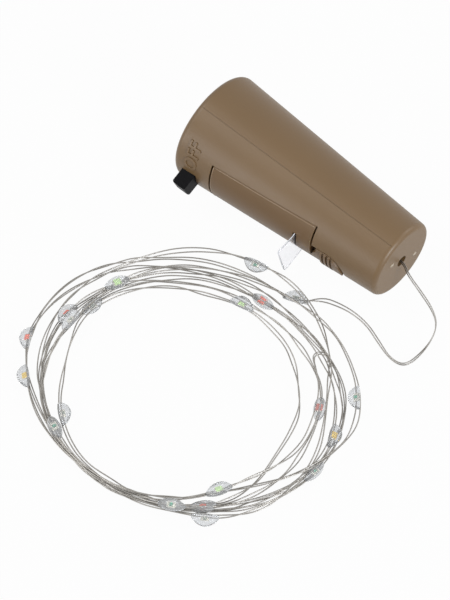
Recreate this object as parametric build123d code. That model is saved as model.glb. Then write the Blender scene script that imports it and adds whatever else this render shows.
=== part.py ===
from build123d import *
import math
import os

os.makedirs("parts", exist_ok=True)

# Battery case: a tapered cork of two moulded half shells, lying on its side
small_end_margin = 7.9     # solid wall from the latch recess to the small end
big_diameter = 25.0
small_diameter = 17.5
wall = 1.5
end_wall = 1.6
big_rim_radius = 1.3
small_rim_radius = 1.1
parting_groove = 0.12
door_roll = 112.8          # degrees from straight up to the middle of the door
overrun = 1.0              # how far cuts run past what they cut
sliding_gap = 0.15         # running clearance between moving and fixed plastic

# Battery door with its U-shaped latch
door_start = 9.8
door_width_big = 17.0
door_width_small = 16.2
door_thickness = 1.4
door_end_gap = 0.4
door_edge_depth = 1.25     # of its long edges, down from the outer face
ledge_width = 0.9
ledge_thickness = 1.0
door_seat_gap = 0.1        # from the door's long edges down to their ledges
hook_reach = 0.4
hook_width = 2.4
hook_thickness = 1.1
hook_foot = 1.5
hook_inner_edge = 2.2
hook_clearance = 0.3
door_rib_thickness = 1.0
door_rib_width = 6.0
door_rib_shares = (0.29, 0.6)
recess_width = 8.8
recess_length = 8.5
recess_depth = 5.0
recess_wall = 1.0
latch_side_gap = 0.4
latch_thickness = 1.2
latch_bend_gap = 1.5
pad_proud = 0.3
pad_end_gap = 0.45
pad_rib_width = 0.5
pad_rib_height = 0.35
pad_rib_pitch = 1.0
pad_rib_count = 3

# Clear film tab between the last cell and its contact
tab_width = 9.2
tab_from_door_end = 4.0
tab_thickness = 0.2
tab_clearance = 0.05
tab_out_radius = 15.0      # outer end, from the case axis
tab_in_depth = 4.6         # inner end, past the case axis
tab_corner = 1.3
slot_side_gap = 0.3
slot_axial_width = 1.0

# Button cells
cell_diameter = 11.6
cell_height = 5.4
cell_cap_diameter = 9.0
cell_cap_height = 0.7
cell_count = 3
cells_from_door_start = 5.45
cradle_gap = 0.15
cradle_rib_thickness = 1.2

# Contacts
contact_thickness = 0.3
contact_width = 8.0
contact_height = 10.0
contact_drop = 5.5         # lower edge, below the case axis
spring_tongue_width = 4.0
spring_free_height = 3.4
dimple_radius = 1.6
dimple_height = 0.85
holder_thickness = 1.0
holder_gap = 0.05

# Slide switch behind the big end
switch_place = 4.2         # from the big end
switch_offset = 0.7        # middle of its travel, off the middle of the door
switch_travel = 2.0
knob_length = 3.4          # along the case
knob_width = 4.0           # around the case
knob_proud = 3.0
knob_edge_radius = 0.5
switch_side_wall = 0.35
switch_body_depth = 3.7
switch_body_height = 2.6
switch_top_clearance = 0.25
switch_frame_thickness = 0.3
slider_foot_width = 5.0
slider_foot_height = 0.8
terminal_count = 3
terminal_pitch = 2.5
terminal_length = 2.4
terminal_width = 0.6
terminal_thickness = 0.3
switch_rib_thickness = 0.9

# Circuit board by the small end
board_side_gap = 1.6
board_thickness = 0.8
board_front_gap = 1.55     # from the plus contact's holder
board_end_gap = 0.5        # from the pins' bosses
board_drop = 3.2
board_post_width = 2.0
resistor_length = 3.2
resistor_width = 1.6
resistor_height = 0.6
solder_radius = 0.7
pad_inset = 1.6

# Wiring inside the case
hookup_diameter = 1.0
hookup_spacing = 2.6
hookup_under_cells = 1.4   # wire's axis below the cells, with their cradle gap
hookup_channel_gap = 0.3
tail_diameter = 0.3
tail_spacing = 1.0
glue_thickness = 1.4
glue_diameter = 6.0
wire_hole_diameter = 2.6

# Pins that hold the two shells in line
pin_diameter = 1.5
pin_length = 2.5
pin_boss_diameter = 3.2
pin_boss_height = 3.4
pin_clearance = 0.05
pin_from_big_end = 7.6
pin_from_small_end = 4.4
pin_inset = 1.75           # pin axis inside the outer face

# Light string: two thin wires side by side, with drops of clear resin on them
cord_diameter = 0.66
lead_straight = 3.0
# Hand-chosen route from the wire hole to the coil, from the foot of the big end
lead_points = [
    (58.9, -1.6, 6.9), (62.6, -2.6, 4.6), (65.2, -4.6, 2.7), (66.4, -8.0, 1.3), (65.9, -12.2, 0.55),
    (63.9, -15.6, 0.4), (60.2, -15.6, 0.4), (56.6, -14.2, 0.4), (53.2, -13.1, 0.4), (49.4, -13.0, 0.4),
]
run_share = 0.45
coil_centre = (34.3, -45.8)
coil_start_angle = 77.0
coil_outer_radius = 36.2    # half its length along the case
coil_oval_share = 0.87      # of that across, because the loose coil lies as an oval
coil_pitch = 2.6
coil_turns_in = 3.75
coil_turns_climb = 0.5
coil_turns_out = 3.47
coil_floor_gap = 0.05      # from the drops' flat backs down to the floor
coil_layer_gap = 0.25      # between the drops of the lower turns and the upper ones
coil_lean_shares = (-0.14, -0.12)
upper_shift = (1.6, -0.9)
gap_step_degrees = 6.0
# Hand-chosen angle of each drop along the wire, in degrees from the coil's own zero line
drop_angles = [
    86.0, 203.0, 357.0, 527.0, 662.0, 816.0, 939.0, 1094.0, 1259.0, 1392.0,
    1546.0, 1677.0, 1824.0, 1989.0, 2113.0, 2268.0, 2403.0, 2553.0, 2713.0, 2841.0,
]
drop_colours = [
    "green", "red", "green", "green", "green", "red", "yellow", "yellow", "green", "red",
    "green", "green", "red", "red", "green", "green", "green", "green", "yellow", "green",
]
drop_length = 5.6
drop_width = 2.7
drop_rise = 2.2            # dome above the wire's axis
drop_sink = 0.4            # flat back below the wire's axis
drop_tip_width = 1.0       # where the resin pinches in around the wires
chip_length = 1.6
chip_width = 0.8
chip_height = 0.6
chip_lift = 0.5            # chip's underside above the wire's axis

# Along the case: what it holds sets how long it is
cells_start = door_start + cells_from_door_start
cells_end = cells_start + cell_count * cell_height
tab_place = cells_end + tab_clearance + tab_thickness / 2
door_end = tab_place + tab_from_door_end
door_length = door_end - door_start
recess_end = door_end + recess_length
case_length = recess_end + small_end_margin
plus_contact_start = tab_place + tab_thickness / 2 + tab_clearance + dimple_height
board_start = plus_contact_start + contact_thickness + holder_gap + holder_thickness / 2 + board_front_gap
board_end = case_length - pin_from_small_end - pin_boss_diameter / 2 - board_end_gap
board_length = board_end - board_start
pin_places = (pin_from_big_end, case_length - pin_from_small_end)

# Across the case
big_radius = big_diameter / 2
small_radius = small_diameter / 2
taper = (big_radius - small_radius) / case_length
taper_angle = math.degrees(math.atan(taper))
cell_radius = cell_diameter / 2
hookup_drop = cell_radius + hookup_diameter / 2 + hookup_under_cells
latch_width = recess_width - 2 * latch_side_gap
knob_rest = switch_offset + switch_travel / 2
switch_body_side = sliding_gap + switch_side_wall + switch_frame_thickness
switch_body_width = slider_foot_width + switch_travel + 2 * switch_body_side
slider_half_length = switch_body_depth / 2 - 2 * switch_frame_thickness - sliding_gap
coil_low = drop_sink + coil_floor_gap
coil_high = coil_low + drop_rise + drop_sink + coil_layer_gap


def radius_at(x):
    return big_radius - taper * x


def depth_under(x, y, inset=0):
    """Height of the tapered face, or of one sunk below it, over a point of the parting plane."""
    return math.sqrt((radius_at(x) - inset) ** 2 - y ** 2)


def board_half_width():
    """As wide as fits beside the wall at the board's far end, less its side gap."""
    return depth_under(board_end, board_drop + board_thickness, wall) - board_side_gap


def cone_between(x0, x1, inset=0):
    cone = Cone(
        radius_at(x0) - inset,
        radius_at(x1) - inset,
        x1 - x0,
        align=(Align.CENTER, Align.CENTER, Align.MIN),
    )
    return Pos(x0, 0, 0) * Rot(0, 90, 0) * cone


def block(x, y, z):
    """A box from its lowest and highest x, y and z."""
    box = Box(x[1] - x[0], y[1] - y[0], z[1] - z[0], align=(Align.MIN, Align.MIN, Align.MIN))
    return Pos(x[0], y[0], z[0]) * box


def rod(start, end, diameter):
    axis = Vector(*end) - Vector(*start)
    plane = Plane(origin=start, z_dir=axis)
    return extrude(plane * Circle(diameter / 2), axis.length)


def door_half_width(x):
    share = (x - door_start) / door_length
    return (door_width_big + (door_width_small - door_width_big) * share) / 2


def door_prism(side, x0, x1, top):
    """The door's outline seen from outside, grown by side, from the parting plane up to top."""
    outline = Polyline(
        (x0, -door_half_width(x0) - side),
        (x1, -door_half_width(x1) - side),
        (x1, door_half_width(x1) + side),
        (x0, door_half_width(x0) + side),
        close=True,
    )
    return extrude(make_face(outline), top)


def recess_prism(side, x0, low, high):
    """The latch recess seen from outside: straight sides and a round end."""
    half = recess_width / 2 + side
    round_start = recess_end - recess_width / 2
    straight = block((x0, round_start), (-half, half), (low, high))
    end = Pos(round_start, 0, low) * Cylinder(
        half, high - low, align=(Align.CENTER, Align.CENTER, Align.MIN)
    )
    return straight + end


def make_case_skin():
    outer = cone_between(0, case_length)
    rims = outer.edges().filter_by(GeomType.CIRCLE).sort_by(Axis.X)
    outer = fillet(rims[0], big_rim_radius)
    rims = outer.edges().filter_by(GeomType.CIRCLE).sort_by(Axis.X)
    outer = fillet(rims[-1], small_rim_radius)
    inner = cone_between(end_wall, case_length - end_wall, wall)
    hole = rod((case_length - end_wall - overrun, 0, 0), (case_length + overrun, 0, 0), wire_hole_diameter)
    return outer - inner - hole


def upper_half(solid):
    size = case_length + big_diameter
    return solid & block((-overrun, size), (-size, size), (0, size))


def lower_half(solid):
    size = case_length + big_diameter
    return solid & block((-overrun, size), (-size, size), (-size, 0))


def pin_axes():
    for x in pin_places:
        for side in (-1, 1):
            yield x, side * (radius_at(x) - wall - pin_inset)


def pin_boss(x, y, side):
    """Half a boss, grown out of the wall beside the parting plane."""
    z = (0, pin_boss_height) if side > 0 else (-pin_boss_height, 0)
    half = pin_boss_diameter / 2
    reach = (radius_at(x)) * (1 if y > 0 else -1)
    across = (min(y, reach), max(y, reach))
    boss = block((x - half, x + half), across, z) + rod((x, y, z[0]), (x, y, z[1]), pin_boss_diameter)
    return boss & cone_between(0, case_length, wall / 2)


def make_back_shell(skin):
    shell = lower_half(skin)
    along = (-overrun, case_length + overrun)
    groove_bar = block(along, (-big_diameter, big_diameter), (-parting_groove, 0))
    shell = shell - (groove_bar - cone_between(-overrun, case_length + overrun, parting_groove))
    inside = lower_half(cone_between(end_wall / 2, case_length - end_wall / 2, wall / 2))
    for x, thickness in cradle_ribs() + holder_ribs():
        rib = block((x, x + thickness), (-big_diameter, big_diameter), (-big_diameter, 0)) & inside
        shell = shell + rib
    shell = shell - rod((cells_start, 0, 0), (cells_end, 0, 0), cell_diameter + 2 * cradle_gap)
    for start, thickness in contact_slots():
        half = contact_width / 2 + holder_gap
        low = -contact_drop - holder_gap
        shell = shell - block((start, start + thickness), (-half, half), (low, overrun))
    spring_room = block(
        (cells_start - spring_free_height, cells_start + overrun),
        (-spring_tongue_width / 2 - overrun, spring_tongue_width / 2 + overrun),
        (-contact_drop, overrun),
    )
    shell = shell - spring_room
    dimple_room = 2 * (dimple_radius + cradle_gap)
    shell = shell - rod((cells_end, 0, 0), (plus_contact_start, 0, 0), dimple_room)
    channel_half = hookup_spacing / 2 + hookup_diameter / 2 + hookup_channel_gap
    channel_low = -hookup_drop - hookup_diameter / 2 - hookup_channel_gap
    shell = shell - block(
        (cells_start - 2 * spring_free_height, board_start),
        (-channel_half, channel_half),
        (channel_low, -contact_drop + hookup_channel_gap),
    )
    for x, y in pin_axes():
        shell = shell + pin_boss(x, y, -1)
        low = -pin_length - pin_clearance * 2
        bore = rod((x, y, low), (x, y, overrun), pin_diameter + 2 * pin_clearance)
        shell = shell - bore
    for x in (board_start + pad_inset, board_end - pad_inset - board_post_width):
        for side in (-1, 1):
            y = side * (board_half_width() - board_post_width)
            across = (min(y, y + side * board_post_width), max(y, y + side * board_post_width))
            post = block((x, x + board_post_width), across, (-big_diameter, -board_drop - board_thickness))
            shell = shell + (post & inside)
    return shell


def cradle_ribs():
    """Where the ribs stand that carry the cells, and how thick they are."""
    places = []
    for n in range(cell_count):
        middle = cells_start + (n + 0.5) * cell_height
        places.append((middle - cradle_rib_thickness / 2, cradle_rib_thickness))
    return places


def contact_slots():
    """Axial start and thickness of the slot of the minus and the plus contact."""
    thickness = contact_thickness + 2 * holder_gap
    minus = cells_start - spring_free_height - contact_thickness - holder_gap
    return [(minus, thickness), (plus_contact_start - holder_gap, thickness)]


def holder_ribs():
    """The two walls that the contacts are pushed into."""
    places = []
    for start, thickness in contact_slots():
        places.append((start - holder_thickness / 2, thickness + holder_thickness))
    return places


def make_front_shell(skin):
    shell = upper_half(skin)
    inside = upper_half(cone_between(end_wall / 2, case_length - end_wall / 2, wall / 2))
    opening = door_prism(sliding_gap, door_start - door_end_gap, door_end + door_end_gap, big_diameter)
    pocket = recess_prism(recess_wall, door_end, recess_floor() - recess_wall, big_diameter)
    shell = shell + (pocket & inside)
    shell = shell - opening
    shell = shell + make_door_ledges()
    shell = shell - recess_prism(0, door_end - latch_thickness, recess_floor(), big_diameter)
    slot_low = knob_width / 2 + switch_travel / 2 + sliding_gap
    slot = block(
        (switch_place - knob_length / 2 - sliding_gap, switch_place + knob_length / 2 + sliding_gap),
        (switch_offset - slot_low, switch_offset + slot_low),
        (wall, big_diameter),
    )
    shell = shell - slot
    rib_start = switch_place + switch_body_depth / 2 + holder_gap
    rib = block(
        (rib_start, rib_start + switch_rib_thickness),
        (switch_offset - switch_body_width / 2, switch_offset + switch_body_width / 2),
        (switch_floor(), big_diameter),
    )
    shell = shell + (rib & inside)
    for x, y in pin_axes():
        shell = shell + pin_boss(x, y, 1)
        shell = shell + rod((x, y, -pin_length), (x, y, pin_length), pin_diameter)
    return shell


def recess_floor():
    return radius_at(recess_end) - recess_depth


def seat_height(x):
    """Height of the flat underside of the door's long edges."""
    first = depth_under(door_start, door_half_width(door_start)) - door_edge_depth
    last = depth_under(door_end, door_half_width(door_end)) - door_edge_depth
    return first + (last - first) * (x - door_start) / door_length


def seat_slab(x0, x1, low, high):
    """Across the whole case, from low to high above the underside of the door's long edges."""
    outline = Polyline(
        (x0, seat_height(x0) + low),
        (x1, seat_height(x1) + low),
        (x1, seat_height(x1) + high),
        (x0, seat_height(x0) + high),
        close=True,
    )
    return extrude(Plane.XZ * make_face(outline), big_radius, both=True)


def make_door_ledges():
    """A ledge under each long edge of the door, grown from the wall beside it."""
    start = door_start + hook_foot
    end = door_end - hook_foot
    slab = seat_slab(start, end, -door_seat_gap - ledge_thickness, -door_seat_gap)
    between = door_prism(-ledge_width, start - overrun, end + overrun, big_diameter)
    return (slab - between) & cone_between(start, end, wall / 4)


def make_battery_door():
    skin = cone_between(door_start, door_end) - cone_between(door_start, door_end, door_thickness)
    door = skin & door_prism(0, door_start, door_end, big_diameter)
    door = door & seat_slab(door_start, door_end, 0, big_diameter)
    for side in (-1, 1):
        door = door + make_hook(side)
    for share in door_rib_shares:
        x = door_start + door_length * share
        top = radius_at(x) - door_thickness / 2
        low = cell_radius + 2 * cradle_gap
        rib = block((x, x + door_rib_thickness), (-door_rib_width / 2, door_rib_width / 2), (low, top))
        door = door + (rib & cone_between(door_start, door_end, door_thickness / 2))
    slot_half = tab_width / 2 + slot_side_gap
    slot = block(
        (tab_place - slot_axial_width / 2, tab_place + slot_axial_width / 2),
        (-slot_half, slot_half),
        (cell_radius, big_diameter),
    )
    door = door - slot
    return door + make_latch()


def make_hook(side):
    """A foot inside the door that reaches under the edge of the shell."""
    inner_face = depth_under(door_start, hook_inner_edge + hook_width, wall)
    top = inner_face - hook_clearance
    across = sorted((side * hook_inner_edge, side * (hook_inner_edge + hook_width)))
    toe = door_start - door_end_gap - hook_reach
    foot = block((toe, door_start + hook_foot), across, (top - hook_thickness, top))
    web = block((door_start, door_start + hook_foot), across, (top - hook_thickness, big_diameter))
    return foot + (web & cone_between(door_start, door_end, door_thickness / 2))


def make_latch():
    """The springy tongue: down from the end of the door, round a bend and up to a finger pad."""
    floor = recess_floor() + door_end_gap
    down_x = door_end
    up_x = down_x + latch_bend_gap + latch_thickness
    bend_radius = latch_bend_gap / 2 + latch_thickness
    outer_top = radius_at(door_end)
    profile_half = latch_width / 2
    low_centre = floor + bend_radius
    centre_x = down_x + latch_bend_gap / 2
    across = (-profile_half, profile_half)
    leg_down = block((down_x - latch_thickness, down_x), across, (low_centre, outer_top))
    leg_down = leg_down & cone_between(door_start, case_length)
    leg_up = block((up_x - latch_thickness, up_x), across, (low_centre, outer_top))
    bend_outer = rod(
        (centre_x, -profile_half, low_centre),
        (centre_x, profile_half, low_centre),
        2 * bend_radius,
    )
    bend_inner = rod(
        (centre_x, -profile_half - overrun, low_centre),
        (centre_x, profile_half + overrun, low_centre),
        latch_bend_gap,
    )
    below = block(
        (centre_x - bend_radius, centre_x + bend_radius),
        across,
        (low_centre - bend_radius, low_centre),
    )
    bend = (bend_outer - bend_inner) & below
    pad_end_radius = recess_width / 2 - pad_end_gap
    pad_plan = block(
        (up_x - latch_thickness, recess_end - recess_width / 2),
        across,
        (0, big_diameter),
    )
    pad_plan = pad_plan + Pos(recess_end - recess_width / 2, 0, 0) * Cylinder(
        pad_end_radius, big_diameter, align=(Align.CENTER, Align.CENTER, Align.MIN)
    ) & block((0, case_length), across, (0, big_diameter))
    layer = cone_between(door_start, case_length) - cone_between(door_start, case_length, latch_thickness)
    pad = layer & pad_plan
    leg_up = leg_up & cone_between(door_start, case_length)
    rib_layer = cone_between(door_start, case_length, -pad_rib_height)
    rib_layer = rib_layer - cone_between(door_start, case_length, latch_thickness / 2)
    ribs = []
    for n in range(pad_rib_count):
        x = up_x + n * pad_rib_pitch
        rib = block((x, x + pad_rib_width), across, (0, big_diameter))
        ribs.append(rib & rib_layer)
    latch = leg_down + leg_up + bend + pad
    for rib in ribs:
        latch = latch + rib
    bump_start = up_x + pad_rib_count * pad_rib_pitch
    bump_layer = cone_between(door_start, case_length, -pad_proud)
    bump_layer = bump_layer - cone_between(door_start, case_length, latch_thickness / 2)
    bump = bump_layer & pad_plan & block((bump_start, case_length), across, (0, big_diameter))
    return latch + bump


def make_pull_tab():
    outline = RectangleRounded(tab_out_radius + tab_in_depth, tab_width, tab_corner)
    middle = (tab_out_radius - tab_in_depth) / 2
    plane = Plane(origin=(tab_place - tab_thickness / 2, 0, middle), x_dir=(0, 0, 1), z_dir=(1, 0, 0))
    return extrude(plane * outline, tab_thickness)


def make_cell(index):
    start = cells_start + index * cell_height
    can = rod((start + cell_cap_height, 0, 0), (start + cell_height, 0, 0), cell_diameter)
    rim = can.edges().filter_by(GeomType.CIRCLE)
    can = fillet(rim, cell_cap_height / 2)
    cap = rod((start, 0, 0), (start + cell_cap_height * 2, 0, 0), cell_cap_diameter)
    return can + cap


def make_minus_contact():
    """A flat plate with a bowed tongue that presses on the first cell."""
    plate_end = cells_start - spring_free_height
    plate = contact_plate(plate_end - contact_thickness)
    tip_gap = holder_gap
    reach = cells_start - tip_gap
    low = -contact_drop + contact_thickness * 2
    half = spring_tongue_width / 2
    points = [(plate_end, low), (reach, 0), (plate_end + spring_free_height / 3, -low - contact_thickness)]
    outer = ThreePointArc(points[0], points[1], points[2])
    inner_points = [(x - contact_thickness, z) for x, z in points]
    inner = ThreePointArc(inner_points[2], inner_points[1], inner_points[0])
    outline = Curve() + [outer, Line(points[2], inner_points[2]), inner, Line(inner_points[0], points[0])]
    plane = Plane(origin=(0, half, 0), x_dir=(1, 0, 0), z_dir=(0, -1, 0))
    tongue = extrude(plane * make_face(outline), spring_tongue_width)
    return plate + tongue


def contact_plate(start):
    low = -contact_drop
    half = contact_width / 2
    return block((start, start + contact_thickness), (-half, half), (low, low + contact_height))


def make_plus_contact():
    plate = contact_plate(plus_contact_start)
    dimple = rod((plus_contact_start - dimple_height, 0, 0), (plus_contact_start, 0, 0), 2 * dimple_radius)
    top = dimple.edges().filter_by(GeomType.CIRCLE).sort_by(Axis.X)[0]
    return plate + fillet(top, dimple_height / 2)


def switch_top():
    far_side = abs(switch_offset) + switch_body_width / 2
    return depth_under(switch_place + switch_body_depth / 2, far_side, wall) - switch_top_clearance


def switch_floor():
    return switch_top() - switch_body_height


def switch_block(inset, low, high):
    half_x = switch_body_depth / 2 - inset
    half_y = switch_body_width / 2 - inset
    return block(
        (switch_place - half_x, switch_place + half_x),
        (switch_offset - half_y, switch_offset + half_y),
        (low, high),
    )


def slider_room(side):
    """The space inside the switch that its slider's foot runs in."""
    half_x = slider_half_length + sliding_gap
    half_y = slider_foot_width / 2 + switch_travel / 2 + side
    top = switch_top() - switch_frame_thickness
    return block(
        (switch_place - half_x, switch_place + half_x),
        (switch_offset - half_y, switch_offset + half_y),
        (top - slider_foot_height - side, top),
    )


def make_switch_housing():
    top = switch_top() - switch_frame_thickness
    body = switch_block(switch_frame_thickness, switch_floor(), top)
    body = body - slider_room(sliding_gap)
    for y in terminal_places():
        body = body - terminal(y, 0, switch_floor())
    return body


def make_switch_frame():
    outer = switch_block(0, switch_floor(), switch_top())
    inner_top = switch_top() - switch_frame_thickness
    inner = switch_block(switch_frame_thickness, switch_floor() - overrun, inner_top)
    half_x = slider_half_length + sliding_gap
    half_y = knob_width / 2 + switch_travel / 2 + sliding_gap
    slot = block(
        (switch_place - half_x, switch_place + half_x),
        (switch_offset - half_y, switch_offset + half_y),
        (switch_floor(), big_diameter),
    )
    return outer - inner - slot


def terminal_places():
    first = switch_offset - terminal_pitch * (terminal_count - 1) / 2
    return [first + n * terminal_pitch for n in range(terminal_count)]


def terminal(y, low, high):
    return block(
        (switch_place - terminal_thickness / 2, switch_place + terminal_thickness / 2),
        (y - terminal_width / 2, y + terminal_width / 2),
        (low, high),
    )


def make_switch_terminals():
    floor = switch_floor()
    pins = [terminal(y, floor - terminal_length, floor) for y in terminal_places()]
    return Compound(children=pins)


def make_switch_knob():
    y = knob_rest
    top = switch_top() - switch_frame_thickness
    foot_low = top - slider_foot_height
    foot = block(
        (switch_place - slider_half_length, switch_place + slider_half_length),
        (y - slider_foot_width / 2, y + slider_foot_width / 2),
        (foot_low, top - sliding_gap / 3),
    )
    stem = block(
        (switch_place - slider_half_length, switch_place + slider_half_length),
        (y - knob_width / 2, y + knob_width / 2),
        (foot_low, radius_at(switch_place)),
    )
    cap = block(
        (switch_place - knob_length / 2, switch_place + knob_length / 2),
        (y - knob_width / 2, y + knob_width / 2),
        (switch_top() + sliding_gap, radius_at(switch_place) + knob_proud),
    )
    rim = cap.faces().sort_by(Axis.Z)[-1].edges()
    return foot + stem + fillet(rim, knob_edge_radius)


def board_top():
    return -board_drop


def make_circuit_board():
    half = board_half_width()
    return block(
        (board_start, board_end),
        (-half, half),
        (board_top() - board_thickness, board_top()),
    )


def make_resistor():
    x = board_start + board_length / 2
    return block(
        (x - resistor_length / 2, x + resistor_length / 2),
        (-resistor_width / 2, resistor_width / 2),
        (board_top(), board_top() + resistor_height),
    )


def solder_places():
    near = board_start + pad_inset
    far = board_end - pad_inset
    return [
        (near, hookup_spacing / 2), (near, -hookup_spacing / 2),
        (far, tail_spacing), (far, -tail_spacing),
    ]


def make_solder_joints():
    joints = []
    for x, y in solder_places():
        ball = Pos(x, y, board_top()) * Sphere(solder_radius)
        above = block((x - overrun, x + overrun), (y - overrun, y + overrun), (board_top(), big_diameter))
        joints.append(ball & above)
    return Compound(children=joints)


def routed_tube(points, diameter, name):
    """A tube through straight runs joined by arcs as large as the runs allow."""
    vectors = [Vector(*p) for p in points]
    radii = []
    for a, b, c in zip(vectors, vectors[1:], vectors[2:]):
        before = b - a
        after = c - b
        half_turn = math.radians(before.get_angle(after) / 2)
        shorter = min(before.length, after.length)
        radii.append(run_share * shorter / math.tan(half_turn))
    path = FilletPolyline(*vectors, radius=radii)
    plane = Plane(origin=vectors[0], z_dir=vectors[1] - vectors[0])
    tube = sweep(plane * Circle(diameter / 2), path=path)
    wanted = math.pi * diameter ** 2 / 4 * path.length
    print(name, "length", round(path.length, 1), "least radius", round(min(radii), 2),
          "volume share", round(tube.volume / wanted, 4))
    return tube


def make_hookup_wire(side):
    """From a switch terminal down and back under the cells to the circuit board."""
    y_switch = terminal_places()[0 if side < 0 else -1]
    y = side * hookup_spacing / 2
    floor = switch_floor() - terminal_length
    bend = hookup_diameter * 3
    board_under = board_top() - board_thickness
    points = [
        (switch_place, y_switch, floor),
        (switch_place, y_switch, floor - bend),
        (switch_place + hookup_diameter, (y_switch + y) / 2, -hookup_drop / 2),
        (switch_place + bend, y, -hookup_drop),
        (cells_start, y, -hookup_drop + hookup_channel_gap / 3),
        (cells_end, y, -hookup_drop + hookup_channel_gap),
        (board_start - hookup_diameter, y, -hookup_drop + hookup_diameter),
        (board_start + pad_inset, y, board_under - hookup_diameter),
        (board_start + pad_inset, y, board_under),
    ]
    return routed_tube(points, hookup_diameter, "hook-up wire")


def outlet_face():
    return case_length - end_wall


def make_outlet_glue():
    blob = rod((outlet_face() - glue_thickness, 0, 0), (outlet_face(), 0, 0), glue_diameter)
    rim = blob.edges().filter_by(GeomType.CIRCLE).sort_by(Axis.X)[0]
    return fillet(rim, glue_thickness / 2)


def make_string_tails():
    """The two wire ends, from the glue down to the board's far pads."""
    far = board_end - pad_inset
    start = outlet_face() - glue_thickness
    tails = []
    for side in (-1, 1):
        y = side * tail_spacing
        top = board_top() + solder_radius
        end = (far + solder_radius / 3, y, top + tail_diameter / 3)
        tails.append(rod((start, y / 3, 0), end, tail_diameter))
    return Compound(children=tails)


def coil_radius(turn):
    """Steadily in, then steadily out again."""
    turning = coil_turns_in + coil_turns_climb / 2
    inner = coil_outer_radius - coil_pitch * turning
    return inner + coil_pitch * abs(turn - turning)


def climb_share(turn):
    share = (turn - coil_turns_in) / coil_turns_climb
    share = min(max(share, 0), 1)
    return share * share * (3 - 2 * share)


def coil_point(turn):
    angle = math.radians(coil_start_angle + 360 * turn)
    radius = coil_radius(turn)
    lean = coil_outer_radius - radius
    up = climb_share(turn)
    x = coil_centre[0] + radius * math.cos(angle) + lean * coil_lean_shares[0] + up * upper_shift[0]
    across = radius * coil_oval_share
    y = coil_centre[1] + across * math.sin(angle) + lean * coil_lean_shares[1] + up * upper_shift[1]
    return Vector(x, y, coil_low + (coil_high - coil_low) * up)


def coil_direction(turn):
    step = 1 / 360
    return (coil_point(turn + step) - coil_point(turn - step)).normalized()


def coil_turns():
    return coil_turns_in + coil_turns_climb + coil_turns_out


def biarc(p0, t0, p1, t1):
    """Two arcs that join two points and leave and reach them along the given directions."""
    chord = p1 - p0
    both = t0 + t1
    a = 2 * (1 - t0.dot(t1))
    b = chord.dot(both)
    reach = (-b + math.sqrt(b * b + a * chord.dot(chord))) / a
    middle = ((p0 + t0 * reach) + (p1 - t1 * reach)) / 2
    half = Edge.make_tangent_arc(p0, t0, middle)
    rest = Edge.make_tangent_arc(middle, half.tangent_at(1), p1)
    return [half, rest]


def coil_path():
    steps = round(coil_turns() * 4)
    turns = [coil_turns() * n / steps for n in range(steps + 1)]
    start = coil_point(0)
    edges = [Edge.make_line(start - coil_direction(0) * cord_diameter, start)]
    for a, b in zip(turns, turns[1:]):
        edges = edges + biarc(coil_point(a), coil_direction(a), coil_point(b), coil_direction(b))
    end = coil_point(turns[-1])
    edges.append(Edge.make_line(end, end + coil_direction(turns[-1]) * cord_diameter))
    return Wire(edges)


def coil_entry():
    """Where the lead meets the coil, and the way the wire runs there."""
    direction = coil_direction(0)
    return coil_point(0) - direction * cord_diameter, direction


def print_coil_gap(path):
    """Least clear space between one stretch of the coil and another."""
    count = round(coil_turns() * 360 / gap_step_degrees)
    points = [path.position_at(n / count) for n in range(count + 1)]
    apart = round(180 / gap_step_degrees)
    least = min(
        (points[i] - points[j]).length
        for i in range(len(points))
        for j in range(i + apart, len(points))
    )
    print("coil length", round(path.length, 1), "least gap to itself", round(least - cord_diameter, 2))


def make_wire_coil():
    path = coil_path()
    print_coil_gap(path)
    start, direction = coil_entry()
    section = Plane(origin=start, z_dir=direction) * Circle(cord_diameter / 2)
    return sweep(section, path=path)


def make_lead_wire():
    start, direction = coil_entry()
    first = to_world_point((case_length - end_wall, 0, 0))
    out = to_world_point((case_length + lead_straight, 0, 0))
    lead_in = start - direction * coil_pitch * 1.5
    points = [first, out] + [Vector(*p) for p in lead_points] + [lead_in, start]
    return routed_tube([tuple(p) for p in points], cord_diameter, "lead wire")


def drop_plane(angle):
    """At a drop: x along the wire, z up."""
    turn = (angle - coil_start_angle) / 360
    along = coil_direction(turn)
    across = Vector(0, 0, 1).cross(along)
    return Plane(origin=coil_point(turn), x_dir=along, z_dir=along.cross(across))


def make_drop_form():
    """Seen from the side a low dome on a flat back, seen from above a lens, pinched at the wire."""
    half = drop_length / 2
    tip = drop_tip_width / 2
    dome = Curve() + [
        Line((-half, 0), (-half, tip)),
        ThreePointArc((-half, tip), (0, drop_rise), (half, tip)),
        Line((half, tip), (half, 0)),
        Line((half, 0), (-half, 0)),
    ]
    spindle = revolve(Plane.XZ * make_face(dome), Axis.X, 360)
    lens = Curve() + [
        ThreePointArc((-half - overrun, 0), (0, drop_width / 2), (half + overrun, 0)),
        ThreePointArc((half + overrun, 0), (0, -drop_width / 2), (-half - overrun, 0)),
    ]
    column = Pos(0, 0, -drop_sink) * extrude(make_face(lens), drop_rise + drop_sink + overrun)
    return spindle & column


def chip_block():
    return block(
        (-chip_length / 2, chip_length / 2),
        (-chip_width / 2, chip_width / 2),
        (chip_lift, chip_lift + chip_height),
    )


def make_drops():
    form = make_drop_form() - chip_block()
    return Compound(children=[drop_plane(angle) * form for angle in drop_angles])


def make_chips(colour):
    chosen = [angle for angle, name in zip(drop_angles, drop_colours) if name == colour]
    return Compound(children=[drop_plane(angle) * chip_block() for angle in chosen])


# Turn the case about its axis, then lay it down on its tapered side
lying_height = big_radius * math.cos(math.radians(taper_angle))
case_place = Pos(0, 0, lying_height) * Rot(0, taper_angle, 0) * Rot(door_roll, 0, 0)


def to_world_point(point):
    return (case_place * Pos(*point)).position


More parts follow.
